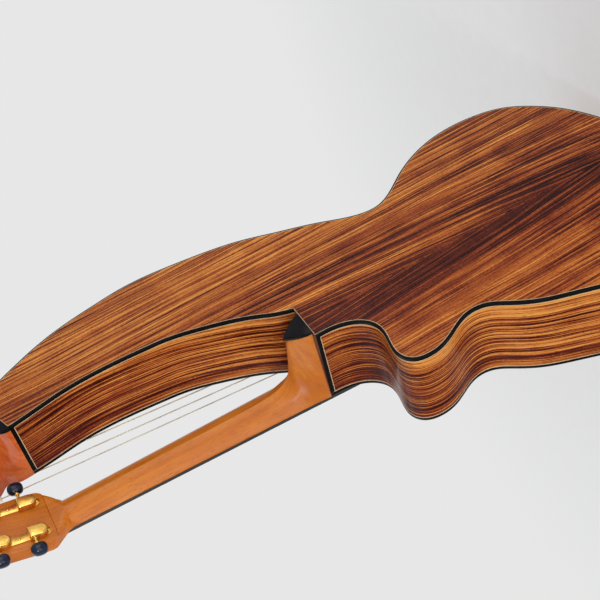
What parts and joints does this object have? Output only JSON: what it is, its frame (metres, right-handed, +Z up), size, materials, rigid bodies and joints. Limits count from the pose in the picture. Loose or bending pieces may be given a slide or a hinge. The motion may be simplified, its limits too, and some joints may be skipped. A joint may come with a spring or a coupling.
{
  "type": "harp guitar",
  "caption": "Hollow-bodied guitar with a treble cutaway and an upswept hollow arm on the bass side that carries a second head of open sub-bass strings.",
  "frame": {"origin": "on the neck's centre line where the strings leave the nut, in the plane of the soundboard's face, which is where a wall hanger's yoke holds the headstock", "axes": "+Z up the neck towards the headstock, -Y out of the soundboard towards the listener, +Y out of the back, +X towards the treble side"},
  "size_m": [0.4174, 0.1351, 1.0349],
  "materials": {
    "back_rosewood": "gloss lacquer over striped rosewood",
    "side_rosewood": "gloss lacquer over striped rosewood, grain along the rim",
    "soundboard_spruce": "gloss lacquer over straight-grained spruce",
    "binding": "black binding, polished flush",
    "block_mahogany": "bare wood inside the body",
    "brace_spruce": "bare wood inside the body",
    "neck_mahogany": "satin lacquer",
    "harp_head_mahogany": "gloss lacquer, red",
    "ebony": "oiled and polished",
    "bone": "polished bone",
    "button_black": "gloss",
    "gold_metal": "polished gold plating",
    "plain_steel": "drawn wire",
    "wound_bronze": "round-wound bronze"
  },
  "bodies": {
    "guitar": {"soundboard": "soundboard_spruce", "back_plate_bass": "back_rosewood", "back_plate_treble": "back_rosewood", "side_treble": "side_rosewood", "side_bass": "side_rosewood", "side_arm_inner": "side_rosewood", "top_binding": "binding", "back_binding": "binding", "neck_block": "block_mahogany", "tail_block": "block_mahogany", "harp_block": "block_mahogany", "top_bracing": "brace_spruce", "back_bracing": "brace_spruce", "neck": "neck_mahogany", "heel_cap": "ebony", "fingerboard": "ebony", "nut": "bone", "harp_head": "harp_head_mahogany", "harp_head_cap": "ebony", "harp_nut": "bone", "bridge": "ebony", "saddle": "bone", "end_pin": "ebony", "head_tuner_plate_bass": "gold_metal", "head_tuner_plate_treble": "gold_metal", "harp_tuner_plate_bass": "gold_metal", "harp_tuner_plate_treble": "gold_metal", "string_6": "wound_bronze", "string_5": "wound_bronze", "string_4": "wound_bronze", "string_3": "wound_bronze", "string_2": "plain_steel", "string_1": "plain_steel", "harp_string_1": "wound_bronze", "harp_string_2": "wound_bronze", "harp_string_3": "wound_bronze", "harp_string_4": "wound_bronze", "harp_string_5": "wound_bronze"},
    "head_button_bass_1": {"head_button_bass_1": "button_black"},
    "head_post_bass_1": {"head_post_bass_1": "gold_metal"},
    "head_button_bass_2": {"head_button_bass_2": "button_black"},
    "head_post_bass_2": {"head_post_bass_2": "gold_metal"},
    "head_button_bass_3": {"head_button_bass_3": "button_black"},
    "head_post_bass_3": {"head_post_bass_3": "gold_metal"},
    "head_button_treble_1": {"head_button_treble_1": "button_black"},
    "head_post_treble_1": {"head_post_treble_1": "gold_metal"},
    "head_button_treble_2": {"head_button_treble_2": "button_black"},
    "head_post_treble_2": {"head_post_treble_2": "gold_metal"},
    "head_button_treble_3": {"head_button_treble_3": "button_black"},
    "head_post_treble_3": {"head_post_treble_3": "gold_metal"},
    "harp_button_bass_1": {"harp_button_bass_1": "button_black"},
    "harp_post_bass_1": {"harp_post_bass_1": "gold_metal"},
    "harp_button_bass_2": {"harp_button_bass_2": "button_black"},
    "harp_post_bass_2": {"harp_post_bass_2": "gold_metal"},
    "harp_button_bass_3": {"harp_button_bass_3": "button_black"},
    "harp_post_bass_3": {"harp_post_bass_3": "gold_metal"},
    "harp_button_treble_1": {"harp_button_treble_1": "button_black"},
    "harp_post_treble_1": {"harp_post_treble_1": "gold_metal"},
    "harp_button_treble_2": {"harp_button_treble_2": "button_black"},
    "harp_post_treble_2": {"harp_post_treble_2": "gold_metal"}
  },
  "joints": [
    {"name": "head_button_bass_1_turn", "type": "hinge", "parent": "guitar", "child": "head_button_bass_1", "pos_m": [-0.0245, 0.02528, 0.0264], "axis": [-1, 0, 0], "continuous": true},
    {"name": "head_post_bass_1_turn", "type": "hinge", "parent": "guitar", "child": "head_post_bass_1", "pos_m": [-0.0245, 0.00411, 0.0221], "axis": [0, 0.9703, -0.2419], "continuous": true},
    {"name": "head_button_bass_2_turn", "type": "hinge", "parent": "guitar", "child": "head_button_bass_2", "pos_m": [-0.0245, 0.03544, 0.06715], "axis": [-1, 0, 0], "continuous": true},
    {"name": "head_post_bass_2_turn", "type": "hinge", "parent": "guitar", "child": "head_post_bass_2", "pos_m": [-0.0245, 0.01427, 0.06285], "axis": [0, 0.9703, -0.2419], "continuous": true},
    {"name": "head_button_bass_3_turn", "type": "hinge", "parent": "guitar", "child": "head_button_bass_3", "pos_m": [-0.0245, 0.0456, 0.10791], "axis": [-1, 0, 0], "continuous": true},
    {"name": "head_post_bass_3_turn", "type": "hinge", "parent": "guitar", "child": "head_post_bass_3", "pos_m": [-0.0245, 0.02443, 0.1036], "axis": [0, 0.9703, -0.2419], "continuous": true},
    {"name": "head_button_treble_1_turn", "type": "hinge", "parent": "guitar", "child": "head_button_treble_1", "pos_m": [0.0245, 0.02528, 0.0264], "axis": [1, 0, 0], "continuous": true},
    {"name": "head_post_treble_1_turn", "type": "hinge", "parent": "guitar", "child": "head_post_treble_1", "pos_m": [0.0245, 0.00411, 0.0221], "axis": [0, 0.9703, -0.2419], "continuous": true},
    {"name": "head_button_treble_2_turn", "type": "hinge", "parent": "guitar", "child": "head_button_treble_2", "pos_m": [0.0245, 0.03544, 0.06715], "axis": [1, 0, 0], "continuous": true},
    {"name": "head_post_treble_2_turn", "type": "hinge", "parent": "guitar", "child": "head_post_treble_2", "pos_m": [0.0245, 0.01427, 0.06285], "axis": [0, 0.9703, -0.2419], "continuous": true},
    {"name": "head_button_treble_3_turn", "type": "hinge", "parent": "guitar", "child": "head_button_treble_3", "pos_m": [0.0245, 0.0456, 0.10791], "axis": [1, 0, 0], "continuous": true},
    {"name": "head_post_treble_3_turn", "type": "hinge", "parent": "guitar", "child": "head_post_treble_3", "pos_m": [0.0245, 0.02443, 0.1036], "axis": [0, 0.9703, -0.2419], "continuous": true},
    {"name": "harp_button_bass_1_turn", "type": "hinge", "parent": "guitar", "child": "harp_button_bass_1", "pos_m": [-0.14643, 0.02627, 0.07616], "axis": [-0.9962, 0, -0.0872], "continuous": true},
    {"name": "harp_post_bass_1_turn", "type": "hinge", "parent": "guitar", "child": "harp_post_bass_1", "pos_m": [-0.14594, 0.00447, 0.07058], "axis": [0.0151, 0.9848, -0.173], "continuous": true},
    {"name": "harp_button_bass_2_turn", "type": "hinge", "parent": "guitar", "child": "harp_button_bass_2", "pos_m": [-0.15003, 0.03356, 0.11736], "axis": [-0.9962, 0, -0.0872], "continuous": true},
    {"name": "harp_post_bass_2_turn", "type": "hinge", "parent": "guitar", "child": "harp_post_bass_2", "pos_m": [-0.14955, 0.01176, 0.11178], "axis": [0.0151, 0.9848, -0.173], "continuous": true},
    {"name": "harp_button_bass_3_turn", "type": "hinge", "parent": "guitar", "child": "harp_button_bass_3", "pos_m": [-0.15364, 0.04086, 0.15856], "axis": [-0.9962, 0, -0.0872], "continuous": true},
    {"name": "harp_post_bass_3_turn", "type": "hinge", "parent": "guitar", "child": "harp_post_bass_3", "pos_m": [-0.15315, 0.01905, 0.15299], "axis": [0.0151, 0.9848, -0.173], "continuous": true},
    {"name": "harp_button_treble_1_turn", "type": "hinge", "parent": "guitar", "child": "harp_button_treble_1", "pos_m": [-0.09363, 0.02627, 0.08077], "axis": [0.9962, 0, 0.0872], "continuous": true},
    {"name": "harp_post_treble_1_turn", "type": "hinge", "parent": "guitar", "child": "harp_post_treble_1", "pos_m": [-0.09314, 0.00447, 0.0752], "axis": [0.0151, 0.9848, -0.173], "continuous": true},
    {"name": "harp_button_treble_2_turn", "type": "hinge", "parent": "guitar", "child": "harp_button_treble_2", "pos_m": [-0.09724, 0.03356, 0.12198], "axis": [0.9962, 0, 0.0872], "continuous": true},
    {"name": "harp_post_treble_2_turn", "type": "hinge", "parent": "guitar", "child": "harp_post_treble_2", "pos_m": [-0.09675, 0.01176, 0.1164], "axis": [0.0151, 0.9848, -0.173], "continuous": true}
  ],
  "couplings": [
    {"joint": "head_post_bass_1_turn", "follows": "head_button_bass_1_turn", "ratio": -0.0625},
    {"joint": "head_post_bass_2_turn", "follows": "head_button_bass_2_turn", "ratio": -0.0625},
    {"joint": "head_post_bass_3_turn", "follows": "head_button_bass_3_turn", "ratio": -0.0625},
    {"joint": "head_post_treble_1_turn", "follows": "head_button_treble_1_turn", "ratio": 0.0625},
    {"joint": "head_post_treble_2_turn", "follows": "head_button_treble_2_turn", "ratio": 0.0625},
    {"joint": "head_post_treble_3_turn", "follows": "head_button_treble_3_turn", "ratio": 0.0625},
    {"joint": "harp_post_bass_1_turn", "follows": "harp_button_bass_1_turn", "ratio": -0.0625},
    {"joint": "harp_post_bass_2_turn", "follows": "harp_button_bass_2_turn", "ratio": -0.0625},
    {"joint": "harp_post_bass_3_turn", "follows": "harp_button_bass_3_turn", "ratio": -0.0625},
    {"joint": "harp_post_treble_1_turn", "follows": "harp_button_treble_1_turn", "ratio": 0.0625},
    {"joint": "harp_post_treble_2_turn", "follows": "harp_button_treble_2_turn", "ratio": 0.0625}
  ]
}
